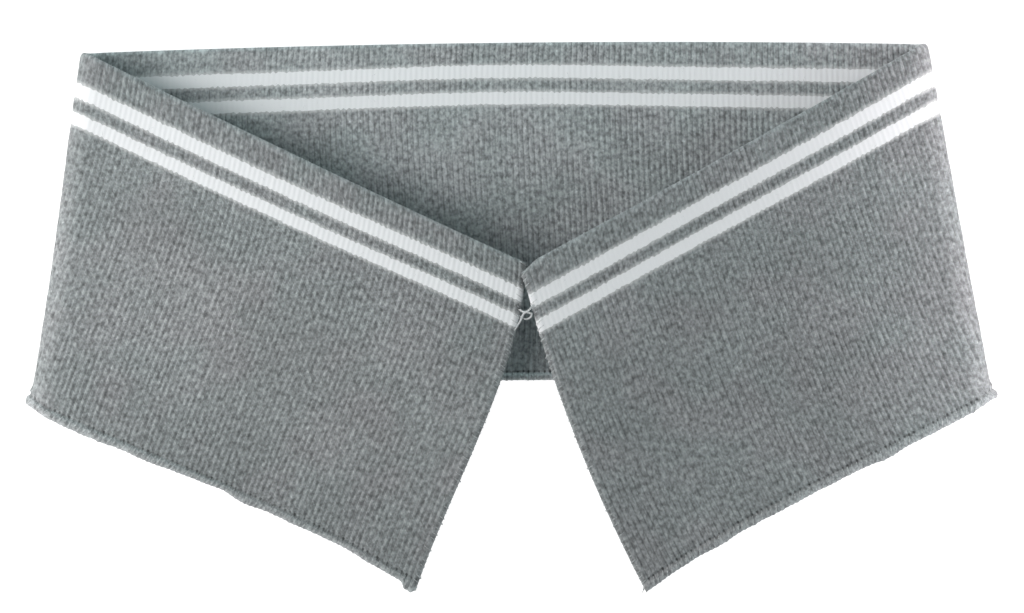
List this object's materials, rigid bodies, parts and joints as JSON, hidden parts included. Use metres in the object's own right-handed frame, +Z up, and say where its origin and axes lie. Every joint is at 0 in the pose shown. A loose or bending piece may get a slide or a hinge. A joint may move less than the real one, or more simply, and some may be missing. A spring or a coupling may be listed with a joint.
{
  "type": "knit polo collar",
  "caption": "Flat-knit rib polo collar in grey melange with white stripes, laid on its back panel with both fronts folded over and tacked at the centre",
  "frame": {"origin": "on the underside of the back panel, where the collar rests, a little above the middle of its height", "axes": "+X along the back panel to the right seen from above, +Y towards the top edge of the back panel, +Z up off the surface"},
  "size_m": [0.2261, 0.1289, 0.0204],
  "materials": {
    "grey_knit": "matt rib knit in grey melange yarn, light and dark fibres mixed",
    "white_knit": "matt rib knit in white yarn"
  },
  "bodies": {
    "root": {"top_band": "grey_knit", "upper_stripe": "white_knit", "middle_band": "grey_knit", "lower_stripe": "white_knit", "main_panel": "grey_knit", "cast_off_edge": "grey_knit"}
  },
  "joints": []
}
